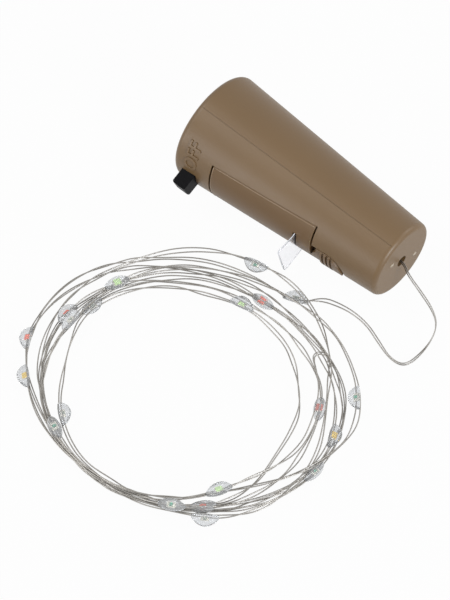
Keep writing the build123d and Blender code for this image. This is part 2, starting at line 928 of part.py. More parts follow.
skin = make_case_skin()
case_nodes = {
    "front_shell": make_front_shell(skin),
    "back_shell": make_back_shell(skin),
    "battery_door": make_battery_door(),
    "pull_tab": make_pull_tab(),
    "minus_contact": make_minus_contact(),
    "plus_contact": make_plus_contact(),
    "switch_housing": make_switch_housing(),
    "switch_frame": make_switch_frame(),
    "switch_terminals": make_switch_terminals(),
    "switch_knob": make_switch_knob(),
    "circuit_board": make_circuit_board(),
    "series_resistor": make_resistor(),
    "solder_joints": make_solder_joints(),
    "hookup_wire_red": make_hookup_wire(1),
    "hookup_wire_black": make_hookup_wire(-1),
    "outlet_glue": make_outlet_glue(),
    "string_tails": make_string_tails(),
}
for number in range(cell_count):
    case_nodes["button_cell_" + str(number + 1)] = make_cell(number)

string_nodes = {
    "lead_wire": make_lead_wire(),
    "wire_coil": make_wire_coil(),
    "led_drops": make_drops(),
}
for colour in sorted(set(drop_colours)):
    string_nodes["led_chips_" + colour] = make_chips(colour)

placed = {name: case_place * solid for name, solid in case_nodes.items()}
case_box = Compound(children=[Part() + solid for solid in placed.values()]).bounding_box()
to_origin = Pos(-case_box.center().X, -case_box.center().Y, -case_box.min.Z)
for name, solid in (placed | string_nodes).items():
    export_step(to_origin * solid, "parts/" + name + ".step")
print("case length", round(case_length, 3), "door length", round(door_length, 3))
print("origin shift", tuple(round(v, 4) for v in to_origin.position))
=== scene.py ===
"""Looks of the cork bottle light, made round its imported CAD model."""
import math

import bmesh
import bpy
from mathutils import Matrix, Vector


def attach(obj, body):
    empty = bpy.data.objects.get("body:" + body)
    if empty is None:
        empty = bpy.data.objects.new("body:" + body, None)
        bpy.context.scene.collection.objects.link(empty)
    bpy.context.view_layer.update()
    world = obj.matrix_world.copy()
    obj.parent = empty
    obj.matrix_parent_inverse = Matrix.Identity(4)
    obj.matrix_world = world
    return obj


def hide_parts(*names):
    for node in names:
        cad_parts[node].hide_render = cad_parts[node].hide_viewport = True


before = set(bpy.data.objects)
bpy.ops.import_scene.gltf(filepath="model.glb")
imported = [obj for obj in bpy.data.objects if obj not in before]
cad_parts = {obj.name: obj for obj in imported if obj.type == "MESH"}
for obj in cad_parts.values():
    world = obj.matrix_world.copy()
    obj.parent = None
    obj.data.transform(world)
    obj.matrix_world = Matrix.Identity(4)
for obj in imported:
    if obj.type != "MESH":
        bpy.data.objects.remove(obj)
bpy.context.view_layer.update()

# Lengths are in millimetres where nothing else is said
mm = 0.001

# Camera, fitted to the photo
camera_place = Vector((241.75, -283.44, 480.16)) * mm
camera_target = Vector((0.53, -24.81, 0.0)) * mm
camera_roll = -2.15            # degrees
camera_lens = 172.3
camera_sensor = 36             # along the photo's long side
photo_width = 450              # pixels
photo_height = 600

# The case's own frame: x from the big end, y to the upper parting line, z to the middle of the door
case_length = 52.0
big_radius = 12.5
small_radius = 8.75
door_roll = 112.8              # degrees
foot_of_big_end = Vector((-25.811, 1.443, 0.0))
taper = (big_radius - small_radius) / case_length
taper_angle = math.atan(taper)

# Light string: two wires side by side
wire_radius = 0.135
wire_sides = 8
wire_gap_low = 0.30            # between the axes of the two wires
wire_gap_high = 0.95
lead_run = 60.0                # the wires keep close together this far from the case
# How the two wires spread and twist, in radians. The rates are for each millimetre along the string.
spread_rates = (0.21, 0.067)
spread_start = 0.8
twist_swings = (1.1, 0.7)
twist_rates = (0.13, 0.31)
twist_start = 2.0
# Small bends left in the wires: their height, and radians for each degree round the coil
wave_height = 0.22
wave_rates = (0.083, 0.151)
wave_start = 1.0
route_steps = 9                # points read from the line between two of its control points
route_order = 3

# The string's first control points, in the wire hole and just outside it, in the case's frame
hole_points = [(50.6, 0, 0), (52.6, -0.3, 0)]
# From there to the coil: pixel of the photo, read off, and a guessed height
lead_marks = [
    (408, 274.5, 8.3), (420, 291, 6.8), (431.5, 308, 4.8), (437, 323, 3.2), (433, 338, 1.6),
    (421, 354, 0.6), (405, 366.5, 0.4), (390, 359, 0.4), (378, 341, 0.4), (367.5, 325, 0.4),
    (353, 312.5, 0.4), (338, 304.5, 0.5), (322, 299, 0.8),
]
coil_centre = (35.5, -45.5)    # from the foot of the big end, as all places of the coil
coil_end = 2928.0              # degrees round the centre, counted on from turn to turn
coil_step = 15.0
coil_low = 0.5                 # the wire's height where the coil starts
coil_high = 3.5                # and where it ends, but for its drops and raised places
# Ovals round the coil's opening and its outside: middle and half-lengths. The first was drawn over the
# photo. The second was fitted to the model's box and to a few radii that a program had found in the photo.
opening_oval = ((33.9, -49.9), (24.8, 25.2))
outside_oval = ((34.9, -46.4), (34.2, 29.8))
# Ovals and drops are placed as if the whole coil lay at its lowest height. Where the wire is higher, it is
# moved towards the camera by these shares of the difference, x and y, so that it still shows there.
sight_shares = (0.50, -0.53)
# Each drop in its order on the string: pixel of the photo where its wire passes, judged by eye from where the
# drop shows there and in a render, its light, and the lean of its dome in degrees. The third and, by two
# pixels, the 18th are set back, because the model's box ends there. The 19th is hidden in the photo, so its
# place is a guess.
drop_marks = [
    (294, 304, "clear", 70), (27, 338, "red", 75), (315, 475, "teal", 10), (109, 285, "lime", -15),
    (172, 505, "teal", 20), (266, 302, "red", -20), (26, 379, "yellow", 75), (331, 440, "yellow", 75),
    (87, 307, "clear", -70), (202, 507, "red", 65), (242, 307, "lime", 50), (62, 418, "clear", -65),
    (319, 415, "red", -10), (65, 318, "red", 70), (204, 517, "clear", 100), (261, 263, "teal", -100),
    (57, 434, "teal", 15), (361, 404, "teal", -90), (67, 325, "clear", 30), (219, 490, "lime", -10),
]
# Places between drops that the wire passes: angle, share of the way from the opening to the outside
passing_shares = [
    (135, 1.00), (275, 0.92), (440, 0.62), (600, 0.80), (740, 0.95), (1020, 0.93), (1170, 0.40),
    (1330, 0.75), (1440, 0.06), (1480, 0.00), (1620, 0.30), (1750, 0.72), (1905, 0.10), (2050, 0.85),
    (2190, 0.55), (2335, 0.95), (2480, 0.25), (2640, 0.80), (2775, 0.75), (2890, 0.36),
]
end_share = 0.40
# Places of the string that lie on top of the other turns: angle, height
raised_places = [(527, 4.2), (662, 4.2)]
raised_run = 16.0              # degrees over which the wire rises to them and to its drops
# The bent-back end of the string: steps along the wire and outwards
end_hook = [(1.6, 0.1), (3.1, 0.6), (3.8, 1.9), (3.2, 3.2), (1.8, 3.5), (0.7, 2.7)]
end_look_back = 2.0            # degrees before the coil's end that give the wire's way there

# Drops of resin: their size at their ends as a share of their middle, and the power by which they swell
drop_half_length = 2.8
drop_half_width = 1.25
drop_rise = 2.15
drop_sink = 0.38
drop_width_end_share = 0.16
drop_rise_end_share = 0.10
drop_sink_end_share = 0.45
drop_width_power = 0.75
drop_rise_power = 0.85
drop_sink_power = 0.4
drop_rings = 25
drop_sides = 30
drop_rest_height = 1.1         # what a drop that lies on its side adds to the wire's height
drop_clearance = 0.4
chip_lean_share = 0.3          # the chips lean less than their drops
chip_lift = 0.5
chip_height = 0.2
chip_edge = 0.05
chip_edge_steps = 2
chip_base_half = (0.8, 0.42)
chip_base_height = 0.3
small_chip_half = (0.28, 0.26)
large_chip_half = (0.62, 0.48)
small_chip_lights = ("teal", "clear")

# Raised words beside the switch: the degrees round the case from the middle of the door, where each starts
# and ends, and the letters' depth and bevel before they are laid on the case, as shares of the type's size
word_angles = {"OFF": (25.0, 58.5), "ON": (-45.0, -23.0)}
word_middle = 4.45             # from the big end
letter_height = 3.1
letter_rise = 0.22
letter_sink = 0.12
letter_depth_share = 0.04
letter_bevel_share = 0.02
letter_bevel_steps = 2
letter_curve_steps = 6

# Two small glossy marks on the small end, left where the plastic was fed in; their pale tint is a painted
# glint
gate_mark_places = [(-3.58, -3.35), (3.2, 2.3)]
gate_mark_half = (0.14, 0.62, 0.46)    # out of the small end, along the mark and across it
gate_mark_turn = 50.0          # degrees
gate_mark_segments = 16
gate_mark_rings = 10

# Rounded edge of the battery door, where it meets the front shell; its pale tint is a painted highlight along
# the edge
door_start = 9.8
door_end = 35.6
door_width_big = 17.0
door_width_small = 16.2
rim_radius = 0.12
rim_proud = 0.06
rim_steps = 12

# Clear film tab, its upper edge curled over
tab_place = 31.6
tab_half_width = 4.6
tab_inner_end = -4.6
tab_lower_end = 15.4
tab_upper_end = 14.5
tab_corner = 0.9
film_half = 0.06
film_columns = 28
film_rows = 90
film_rim_radius = 0.1
film_rim_start_share = 0.68    # of the way out, just inside the door's slot
curl_width = 1.3
curl_depth = 0.45
curl_run = 4.0                 # the curl grows over this way, so that the door can tip past the film
film_bow = 0.075

# Grain and sockets that all materials share
patch_detail = 4
grain_detail = 5
relief_strength = 0.6
least_roughness = 0.02
mix_factor = 0
mix_first = 6
mix_second = 7
mix_result = 2

# Floor and air
floor_half = 1.6               # metres
floor_drop = 0.02
floor_grey = (0.55, 0.55, 0.55, 1)
floor_roughness = 0.9
floor_shine = 0.1
floor_white_share = 0.965      # how far the camera sees the floor as plain white
air_light = 0.48               # the camera itself sees air of 1
white = (1, 1, 1, 1)

# Lamps: name, then place, target and size in metres, power in watts, tint
neutral = (1, 1, 1)
cool = (0.93, 0.96, 1)
lamps = [
    ("key", (-0.35, -0.25, 0.65), (0, -0.02, 0), 0.45, 1.65, neutral),
    ("front", (-0.34, -0.76, 0.12), (0, 0, 0.01), 0.5, 2.25, cool),
    ("right", (0.75, -0.15, 0.3), (0.02, 0, 0.01), 0.35, 4.0, cool),
    ("back", (0.3, 0.5, 0.4), (0, 0, 0.01), 0.4, 1.0, neutral),
]


# Camera and places
def scene_link(obj):
    bpy.context.scene.collection.objects.link(obj)
    return obj


def camera_matrix():
    level = (camera_target - camera_place).to_track_quat("-Z", "Y").to_matrix().to_4x4()
    roll = Matrix.Rotation(math.radians(camera_roll), 4, "Z")
    return Matrix.Translation(camera_place) @ level @ roll


def make_camera():
    data = bpy.data.cameras.new("camera")
    data.sensor_width = camera_sensor
    data.lens = camera_lens
    obj = scene_link(bpy.data.objects.new("camera", data))
    obj.matrix_world = camera_matrix()
    bpy.context.scene.camera = obj


def case_matrix():
    lift = Vector((0, 0, big_radius * math.cos(taper_angle)))
    place = Matrix.Translation((foot_of_big_end + lift) * mm)
    return place @ Matrix.Rotation(taper_angle, 4, "Y") @ Matrix.Rotation(math.radians(door_roll), 4, "X")


def on_case(x, y, z):
    return case_matrix() @ (Vector((x, y, z)) * mm)


def on_skin(x, angle, lift):
    """A point over the tapered skin, by its angle round the case from the middle of the door."""
    radius = big_radius - taper * x + lift
    return on_case(x, radius * math.sin(angle), radius * math.cos(angle))


def from_foot(x, y, z):
    return (foot_of_big_end + Vector((x, y, z))) * mm


def photo_mark(x, y, height):
    """From the foot, the place at a height that a pixel of the photo shows."""
    focal = camera_lens / camera_sensor * max(photo_width, photo_height)
    way = camera_matrix().to_3x3() @ Vector((x - photo_width / 2, photo_height / 2 - y, -focal))
    reach = (height * mm - camera_place.z) / way.z
    return (camera_place + way * reach) / mm - foot_of_big_end


# The string's route
def oval_reach(oval, angle):
    """Distance from the coil's centre to an oval, along an angle."""
    middle, half = oval
    t = math.radians(angle)
    way = Vector((math.cos(t) / half[0], math.sin(t) / half[1]))
    start = Vector(((coil_centre[0] - middle[0]) / half[0], (coil_centre[1] - middle[1]) / half[1]))
    a = way.dot(way)
    b = way.dot(start)
    return (math.sqrt(b * b - a * (start.dot(start) - 1)) - b) / a


def place_drops():
    """Each drop: angle round the coil, share of the way from the opening to the outside, light, lean."""
    placed = []
    last = 0
    for x, y, light, lean in drop_marks:
        place = photo_mark(x, y, coil_low)
        along = place.x - coil_centre[0]
        across = place.y - coil_centre[1]
        angle = last + (math.degrees(math.atan2(across, along)) - last) % 360
        opening = oval_reach(opening_oval, angle)
        share = (math.hypot(along, across) - opening) / (oval_reach(outside_oval, angle) - opening)
        placed.append((angle, share, light, lean))
        last = angle
    return placed


drops = place_drops()
coil_start = drops[0][0]
knot_shares = sorted([(drop[0], drop[1]) for drop in drops] + passing_shares) + [(coil_end, end_share)]


def share_at(angle):
    """Where a turn runs between the coil's opening and its outside."""
    if angle <= knot_shares[0][0]:
        return knot_shares[0][1]
    for (a0, s0), (a1, s1) in zip(knot_shares, knot_shares[1:]):
        if angle <= a1:
            t = (angle - a0) / (a1 - a0)
            t = t * t * (3 - 2 * t)
            return s0 * (1 - t) + s1 * t
    return knot_shares[-1][1]


def drop_height(lean):
    """Least height of the wire at a drop, so that its dome stays off the floor."""
    t = math.radians(lean)
    return drop_rest_height * abs(math.sin(t)) + drop_clearance + drop_rise * max(-math.cos(t), 0)


def coil_height(angle):
    share = (angle - coil_start) / (coil_end - coil_start)
    height = coil_low + (coil_high - coil_low) * share
    needs = [(drop_angle, drop_height(lean)) for drop_angle, _, _, lean in drops]
    for place, needed in needs + raised_places:
        nearness = math.exp(-((angle - place) / raised_run) ** 2)
        height += max(needed - height, 0) * nearness
    return height


def coil_place(angle):
    opening = oval_reach(opening_oval, angle)
    outside = oval_reach(outside_oval, angle)
    radius = opening + (outside - opening) * share_at(angle)
    radius += wave_height * math.sin(angle * wave_rates[0])
    radius += wave_height * math.sin(angle * wave_rates[1] + wave_start)
    t = math.radians(angle)
    height = coil_height(angle)
    x = coil_centre[0] + radius * math.cos(t) + sight_shares[0] * (height - coil_low)
    y = coil_centre[1] + radius * math.sin(t) + sight_shares[1] * (height - coil_low)
    return Vector((x, y, height))


def route_points():
    points = [on_case(*point) for point in hole_points]
    points += [from_foot(*photo_mark(*mark)) for mark in lead_marks]
    count = round((coil_end - coil_start) / coil_step)
    for n in range(count + 1):
        angle = coil_start + (coil_end - coil_start) * n / count
        points.append(from_foot(*coil_place(angle)))
    end = coil_place(coil_end)
    along = (end - coil_place(coil_end - end_look_back)).normalized()
    out = Vector((end.x - coil_centre[0], end.y - coil_centre[1], 0)).normalized()
    for forward, outward in end_hook:
        points.append(from_foot(*(end + along * forward + out * outward)))
    return points


def smooth_line(points):
    """Points read from the open NURBS spline through the route's control points."""
    data = bpy.data.curves.new("route", "CURVE")
    data.dimensions = "3D"
    data.resolution_u = route_steps
    spline = data.splines.new("NURBS")
    spline.points.add(len(points) - 1)
    for place, point in zip(spline.points, points):
        place.co = (*point, 1)
    spline.order_u = route_order
    spline.use_endpoint_u = True
    obj = scene_link(bpy.data.objects.new("route", data))
    mesh = bpy.data.meshes.new_from_object(obj)
    line = [v.co.copy() for v in mesh.vertices]
    bpy.data.objects.remove(obj)
    bpy.data.meshes.remove(mesh)
    return line


def turn_of_line(line):
    """Angle round the coil at each point of the line, counted on from turn to turn."""
    centre = from_foot(*coil_centre, 0)
    angles = []
    total = None
    for p in line:
        now = math.degrees(math.atan2(p.y - centre.y, p.x - centre.x))
        if total is None:
            total = now
        total += (now - total + 180) % 360 - 180
        angles.append(total)
    return angles


def line_index(angles, angle):
    return min(range(len(angles)), key=lambda i: abs(angles[i] - angle))


# Meshes
def tangents(line):
    ends = [line[0]] + line + [line[-1]]
    return [(b - a).normalized() for a, b in zip(ends, ends[2:])]


def side_and_top(way):
    """Level and upright directions across a way."""
    side = Vector((0, 0, 1)).cross(way).normalized()
    return side, way.cross(side)


def skin_rings(bm, rings):
    """Faces between rings of points, and one face over each end."""
    for a, b in zip(rings, rings[1:]):
        count = len(a)
        for n in range(count):
            m = (n + 1) % count
            bm.faces.new((a[n], a[m], b[m], b[n]))
    bm.faces.new(list(reversed(rings[0])))
    bm.faces.new(rings[-1])


def tube(bm, centres, radius, sides):
    rings = []
    for centre, way in zip(centres, tangents(centres)):
        side, top = side_and_top(way)
        ring = []
        for n in range(sides):
            t = 2 * math.pi * n / sides
            ring.append(bm.verts.new(centre + (side * math.cos(t) + top * math.sin(t)) * radius))
        rings.append(ring)
    skin_rings(bm, rings)


def to_object(bm, name, material, smooth=True):
    mesh = bpy.data.meshes.new(name)
    bmesh.ops.recalc_face_normals(bm, faces=bm.faces)
    bm.to_mesh(mesh)
    bm.free()
    for face in mesh.polygons:
        face.use_smooth = smooth
    obj = scene_link(bpy.data.objects.new(name, mesh))
    obj.data.materials.append(material)
    return obj


def make_string(line):
    """Two wires that keep crossing over and spreading a little, as bare string wires do."""
    run = 0
    strands = ([], [])
    last = line[0]
    for point, way in zip(line, tangents(line)):
        run += (point - last).length / mm
        last = point
        side, top = side_and_top(way)
        swing = math.sin(run * spread_rates[0]) * math.sin(run * spread_rates[1] + spread_start)
        spread = (1 + swing) / 2 * min(run / lead_run, 1)
        half = (wire_gap_low + (wire_gap_high - wire_gap_low) * spread) / 2
        twist = twist_swings[0] * math.sin(run * twist_rates[0])
        twist += twist_swings[1] * math.sin(run * twist_rates[1] + twist_start)
        offset = (side * math.cos(twist) + top * math.sin(twist)) * half * mm
        strands[0].append(point + offset)
        strands[1].append(point - offset)
    bm = bmesh.new()
    for strand in strands:
        lifted = [Vector((p.x, p.y, max(p.z, wire_radius * mm))) for p in strand]
        tube(bm, lifted, wire_radius * mm, wire_sides)
    return to_object(bm, "light_string", silvered_wire)


def drop_frame(point, way, lean):
    """Origin on the wire, x along it and z to the top of the dome."""
    side, top = side_and_top(way)
    t = math.radians(lean)
    dome = top * math.cos(t) - side * math.sin(t)
    across = dome.cross(way)
    turn = Matrix((way, across, dome)).transposed().to_4x4()
    return Matrix.Translation(point) @ turn


def swell(least_share, fat, power):
    """A drop's size as a share of its middle, where fat goes from 0 at its ends to 1."""
    return least_share + (1 - least_share) * fat ** power


def add_drop(bm, place):
    rings = []
    for k in range(drop_rings):
        x = -1 + 2 * k / (drop_rings - 1)
        fat = max(1 - x * x, 0)
        wide = drop_half_width * swell(drop_width_end_share, fat, drop_width_power)
        rise = drop_rise * swell(drop_rise_end_share, fat, drop_rise_power)
        sink = drop_sink * swell(drop_sink_end_share, fat, drop_sink_power)
        ring = []
        for n in range(drop_sides):
            t = 2 * math.pi * n / drop_sides
            z = math.sin(t) * (rise if math.sin(t) > 0 else sink)
            point = Vector((x * drop_half_length, wide * math.cos(t), z)) * mm
            ring.append(bm.verts.new(place @ point))
        rings.append(ring)
    skin_rings(bm, rings)


def add_block(bm, place, low, high):
    """A small block with eased edges."""
    made = bmesh.ops.create_cube(bm, size=1)
    size = [h - l for l, h in zip(low, high)]
    middle = [(l + h) / 2 for l, h in zip(low, high)]
    for v in made["verts"]:
        point = Vector([c * s + m for c, s, m in zip(v.co, size, middle)]) * mm
        v.co = place @ point
    edges = {e for v in made["verts"] for e in v.link_edges}
    bmesh.ops.bevel(bm, geom=list(edges), offset=chip_edge * mm, segments=chip_edge_steps, affect="EDGES")


# Materials
def colour(red, green, blue):
    """A colour as it shows on a screen, 0 to 255, as Blender's linear values."""
    values = []
    for c in (red / 255, green / 255, blue / 255):
        values.append(c / 12.92 if c <= 0.04045 else ((c + 0.055) / 1.055) ** 2.4)
    return (*values, 1)


def make_material(name, tint, second, roughness, rough_span=0.08, metal=0.0, grain=900.0,
                  patch=90.0, bump=0.02, specular=0.5, refraction=None, see_through=0.0):
    """Two close tints in soft patches, with a fine grain in its roughness and its relief."""
    material = bpy.data.materials.new(name)
    material.use_nodes = True
    nodes = material.node_tree.nodes
    links = material.node_tree.links
    shader = nodes["Principled BSDF"]
    place = nodes.new("ShaderNodeTexCoord")
    soft = nodes.new("ShaderNodeTexNoise")
    soft.inputs["Scale"].default_value = patch
    soft.inputs["Detail"].default_value = patch_detail
    fine = nodes.new("ShaderNodeTexNoise")
    fine.inputs["Scale"].default_value = grain
    fine.inputs["Detail"].default_value = grain_detail
    mix = nodes.new("ShaderNodeMix")
    mix.data_type = "RGBA"
    mix.inputs[mix_first].default_value = tint
    mix.inputs[mix_second].default_value = second
    rough = nodes.new("ShaderNodeMapRange")
    rough.inputs["To Min"].default_value = max(roughness - rough_span, least_roughness)
    rough.inputs["To Max"].default_value = min(roughness + rough_span, 1)
    relief = nodes.new("ShaderNodeBump")
    relief.inputs["Strength"].default_value = relief_strength
    relief.inputs["Distance"].default_value = bump * mm
    links.new(place.outputs["Object"], soft.inputs["Vector"])
    links.new(place.outputs["Object"], fine.inputs["Vector"])
    links.new(soft.outputs["Fac"], mix.inputs[mix_factor])
    links.new(mix.outputs[mix_result], shader.inputs["Base Color"])
    links.new(fine.outputs["Fac"], rough.inputs["Value"])
    links.new(rough.outputs["Result"], shader.inputs["Roughness"])
    links.new(fine.outputs["Fac"], relief.inputs["Height"])
    links.new(relief.outputs["Normal"], shader.inputs["Normal"])
    shader.inputs["Metallic"].default_value = metal
    shader.inputs["Specular IOR Level"].default_value = specular
    shader.inputs["Transmission Weight"].default_value = see_through
    if refraction is not None:
        shader.inputs["IOR"].default_value = refraction
    return material


def make_clear(name, tint, second, roughness, see_through, bump, refraction=1.48):
    return make_material(name, tint, second, roughness, rough_span=0.03, grain=120, patch=200,
                         bump=bump, refraction=refraction, see_through=see_through)


case_plastic = make_material("case_plastic", colour(110, 85, 53), colour(104, 80, 49), 0.43, 0.06,
                             grain=2600, patch=60, specular=0.62)
# The door's plastic, a little darker than the case's: painted shade, as the door faces down and away from the
# light
door_plastic = make_material("door_plastic", colour(107, 82, 53), colour(101, 77, 49), 0.43, 0.06,
                             grain=2600, patch=70, specular=0.4)
# Lighter tint of the door's rim: a painted highlight along the door's edge
rim_with_painted_highlight = make_material("rim_with_painted_highlight", colour(139, 116, 90), colour(131, 108, 82), 0.24, 0.04,
                            grain=1200, patch=70, bump=0.004)
# Pale tint of the gate marks: a painted glint on the small glossy bumps
gate_gloss_and_painted_glint = make_material("gate_gloss_and_painted_glint", colour(172, 158, 138), colour(156, 142, 122), 0.12, 0.04,
                           grain=1200, patch=200, bump=0.004)
black_plastic = make_material("black_plastic", colour(7, 7, 9), colour(11, 11, 13), 0.4, 0.1,
                              grain=2200, patch=160, bump=0.015, specular=0.12, refraction=1.3)
silvered_wire = make_material("silvered_wire", colour(174, 171, 166), colour(128, 124, 118), 0.33, 0.05,
                              metal=1, grain=300, patch=140, bump=0.001)
nickel = make_material("nickel", colour(206, 203, 196), colour(188, 184, 176), 0.26,
                       metal=1, grain=2400, patch=160, bump=0.004)
cell_steel = make_material("cell_steel", colour(214, 213, 210), colour(196, 195, 190), 0.3, 0.1,
                           metal=1, grain=1500, patch=120, bump=0.006)
solder = make_material("solder", colour(196, 198, 200), colour(170, 172, 174), 0.32, 0.12,
                       metal=1, grain=1800, patch=400)
board_laminate = make_material("board_laminate", colour(38, 92, 52), colour(30, 78, 44), 0.42,
                               grain=3200, patch=200, bump=0.01)
resistor_body = make_material("resistor_body", colour(34, 34, 36), colour(48, 47, 46), 0.5, 0.1,
                              grain=2600, patch=300, bump=0.01)
red_jacket = make_material("red_jacket", colour(176, 30, 26), colour(158, 24, 22), 0.42,
                           grain=1600, patch=160, bump=0.01)
black_jacket = make_material("black_jacket", colour(26, 26, 28), colour(34, 34, 36), 0.42,
                             grain=1600, patch=160, bump=0.01)
switch_plastic = make_material("switch_plastic", colour(40, 38, 36), colour(50, 47, 44), 0.48,
                               grain=2200, patch=200, bump=0.01)
glue = make_clear("glue", colour(236, 230, 210), colour(224, 216, 192), 0.32, 0.35, 0.05)
film = make_clear("film", colour(253, 253, 255), colour(250, 250, 253), 0.07, 0.9, 0.004, 1.4)
film_rim = make_material("film_rim", colour(222, 223, 227), colour(208, 209, 214), 0.3, 0.05,
                         grain=1200, patch=200, bump=0.002)
resin = make_clear("resin", colour(234, 235, 236), colour(220, 222, 224), 0.24, 0.75, 0, 1.2)
chip_base = make_material("chip_base", colour(226, 222, 208), colour(204, 198, 180), 0.45,
                          grain=2600, patch=700)

chip_tints = {
    "red": (colour(246, 92, 42), colour(238, 78, 32)),
    "yellow": (colour(238, 200, 52), colour(228, 186, 40)),
    "lime": (colour(200, 234, 156), colour(186, 226, 138)),
    "teal": (colour(32, 160, 120), colour(24, 138, 102)),
    "clear": (colour(150, 158, 140), colour(128, 136, 120)),
}
node_materials = {
    "front_shell": case_plastic, "back_shell": case_plastic, "battery_door": door_plastic,
    "switch_knob": black_plastic, "minus_contact": nickel, "plus_contact": nickel,
    "switch_housing": switch_plastic, "switch_frame": nickel, "switch_terminals": solder,
    "circuit_board": board_laminate, "series_resistor": resistor_body, "solder_joints": solder,
    "hookup_wire_red": red_jacket, "hookup_wire_black": black_jacket, "outlet_glue": glue,
    "string_tails": silvered_wire, "button_cell_1": cell_steel, "button_cell_2": cell_steel,
    "button_cell_3": cell_steel,
}


def dress_nodes():
    for name, material in node_materials.items():
        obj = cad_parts[name]
        obj.data.materials.clear()
        obj.data.materials.append(material)


# Pieces on the string
def make_resin_drops(places):
    bm = bmesh.new()
    for place in places:
        add_drop(bm, place)
    piece = to_object(bm, "resin_drops", resin)
    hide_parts("led_drops")
    return piece


def make_chip_bases(places):
    bm = bmesh.new()
    for place in places:
        low = (-chip_base_half[0], -chip_base_half[1], -chip_base_height)
        add_block(bm, place, low, (*chip_base_half, 0))
    piece = to_object(bm, "chip_bases", chip_base, smooth=False)
    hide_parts("led_chips_green", "led_chips_red", "led_chips_yellow")
    return piece


def make_chips(light, places):
    half = small_chip_half if light in small_chip_lights else large_chip_half
    material = make_material("chip_" + light, *chip_tints[light], 0.4, grain=3000, patch=900)
    bm = bmesh.new()
    for place in places:
        add_block(bm, place, (-half[0], -half[1], 0), (*half, chip_height))
    piece = to_object(bm, "chips_" + light, material, smooth=False)
    return piece


def make_drop_pieces(line):
    ways = tangents(line)
    angles = turn_of_line(line)
    drop_places = []
    chip_places = []
    for angle, _, _, lean in drops:
        index = line_index(angles, angle)
        place = drop_frame(line[index], ways[index], lean)
        drop_places.append(place)
        chip_place = drop_frame(line[index], ways[index], lean * chip_lean_share)
        chip_place.translation = place @ (Vector((0, 0, chip_lift)) * mm)
        chip_places.append(chip_place)
    made = [make_resin_drops(drop_places), make_chip_bases(chip_places)]
    for light in chip_tints:
        made.append(make_chips(light, [p for p, drop in zip(chip_places, drops) if drop[2] == light]))
    for piece in made:
        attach(piece, "case")
    return made


def make_light_string():
    line = smooth_line(route_points())
    string = make_string(line)
    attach(string, "case")
    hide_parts("lead_wire", "wire_coil")
    string_pieces = make_drop_pieces(line)


# Words and marks
def letter_mesh(text):
    """A word's letters, flat and in the type's own size."""
    data = bpy.data.curves.new(text, "FONT")
    data.body = text
    data.align_x = "CENTER"
    data.align_y = "CENTER"
    data.size = 1
    data.extrude = letter_depth_share
    data.bevel_depth = letter_bevel_share
    data.bevel_resolution = letter_bevel_steps
    data.resolution_u = letter_curve_steps
    obj = scene_link(bpy.data.objects.new(text, data))
    mesh = bpy.data.meshes.new_from_object(obj)
    bpy.data.objects.remove(obj)
    return mesh


def make_word(text, first_angle, last_angle):
    """A word that reads round the case, its tops towards the big end."""
    mesh = letter_mesh(text)
    xs, ys, zs = ([v.co[axis] for v in mesh.vertices] for axis in range(3))
    left, right = min(xs), max(xs)
    low, high = min(ys), max(ys)
    back, face = min(zs), max(zs)
    bm = bmesh.new()
    bm.from_mesh(mesh)
    bpy.data.meshes.remove(mesh)
    bmesh.ops.triangulate(bm, faces=bm.faces)
    for v in bm.verts:
        share = (v.co.x - left) / (right - left)
        angle = math.radians(first_angle + (last_angle - first_angle) * share)
        x = word_middle - (v.co.y - (high + low) / 2) / (high - low) * letter_height
        lift = (letter_rise + letter_sink) * (v.co.z - back) / (face - back) - letter_sink
        v.co = on_skin(x, angle, lift)
    piece = to_object(bm, "word_" + text.lower(), case_plastic, smooth=False)
    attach(piece, "case")


def make_gate_marks():
    bm = bmesh.new()
    turn = Matrix.Rotation(math.radians(gate_mark_turn), 3, "X")
    for y, z in gate_mark_places:
        made = bmesh.ops.create_uvsphere(bm, u_segments=gate_mark_segments, v_segments=gate_mark_rings,
                                         radius=1)
        for v in made["verts"]:
            out, along, across = v.co.z, v.co.x, v.co.y
            flat = Vector((out * gate_mark_half[0], along * gate_mark_half[1], across * gate_mark_half[2]))
            v.co = on_case(*(Vector((case_length, y, z)) + turn @ flat))
    piece = to_object(bm, "gate_marks", gate_gloss_and_painted_glint)
    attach(piece, "case")


# Door rim
def rim_point(x, share):
    """On the door's skin, share 1 at its upper long edge and -1 at its lower one."""
    along = (x - door_start) / (door_end - door_start)
    half = (door_width_big + (door_width_small - door_width_big) * along) / 2 - rim_radius
    edge = math.asin(half / (big_radius - taper * x))
    return on_skin(x, edge * share, rim_proud - rim_radius)


def make_door_rim():
    low = door_start + rim_radius
    high = door_end - rim_radius
    bm = bmesh.new()
    for side in (1, -1):
        centres = [rim_point(low + (high - low) * n / rim_steps, side) for n in range(rim_steps + 1)]
        tube(bm, centres, rim_radius * mm, wire_sides)
    centres = [rim_point(low, n / rim_steps) for n in range(-rim_steps, rim_steps + 1)]
    tube(bm, centres, rim_radius * mm, wire_sides)
    piece = to_object(bm, "door_rim", rim_with_painted_highlight)
    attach(piece, "battery_door")


# Film tab
def within_unit(value):
    return min(max(value, 0), 1)


def film_place(share, across, side):
    """A point of the film: share of the way from its inner end to its outer one, across from -1 to 1."""
    outer_end = tab_lower_end + (tab_upper_end - tab_lower_end) * (across + 1) / 2
    along = tab_inner_end + (outer_end - tab_inner_end) * share
    reach = outer_end - along
    half = tab_half_width
    if reach < tab_corner:
        half -= tab_corner - math.sqrt(max(tab_corner ** 2 - (tab_corner - reach) ** 2, 0))
    y = across * half
    skin = big_radius - taper * tab_place
    clear = within_unit((along - skin) / curl_run)
    curl = within_unit((y - tab_half_width + curl_width) / curl_width)
    bow = film_bow * math.sin(math.pi * within_unit((along - skin) / (outer_end - skin)) / 2)
    x = tab_place - clear * curl_depth * curl * curl - bow * (1 - across * across)
    return on_case(x + side * film_half, y, along)


